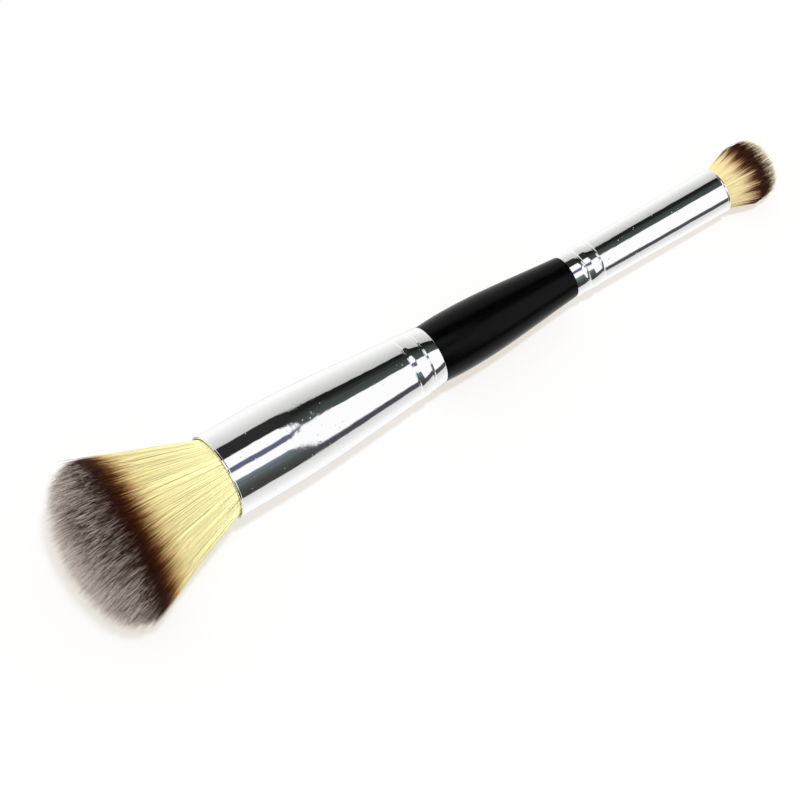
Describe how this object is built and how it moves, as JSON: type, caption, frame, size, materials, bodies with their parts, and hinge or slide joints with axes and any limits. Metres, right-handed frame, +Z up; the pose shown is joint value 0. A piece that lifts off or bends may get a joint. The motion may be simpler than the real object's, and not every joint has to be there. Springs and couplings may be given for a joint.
{
  "type": "double ended makeup brush",
  "caption": "Cosmetic brush with a black handle between bright metal ferrules, a large fluffy domed head at one end and a small round head at the other.",
  "frame": {"origin": "on the ground, under the middle of the brush's bounding box as it lies on its side", "axes": "+X along the brush on the ground, from the large head to the small head; +Y sideways; +Z up"},
  "size_m": [0.1874, 0.0384, 0.0349],
  "materials": {
    "black_lacquer": "turned wood under matt black lacquer",
    "bright_metal": "mirror bright",
    "dyed_fibre": "soft synthetic fibre, pale yellow, dyed brown towards the tips",
    "resin": "clear amber cast resin"
  },
  "bodies": {
    "root": {"handle": "black_lacquer", "large_ferrule": "bright_metal", "small_ferrule": "bright_metal", "large_head": "dyed_fibre", "small_head": "dyed_fibre", "large_resin_plug": "resin", "small_resin_plug": "resin"}
  },
  "joints": []
}
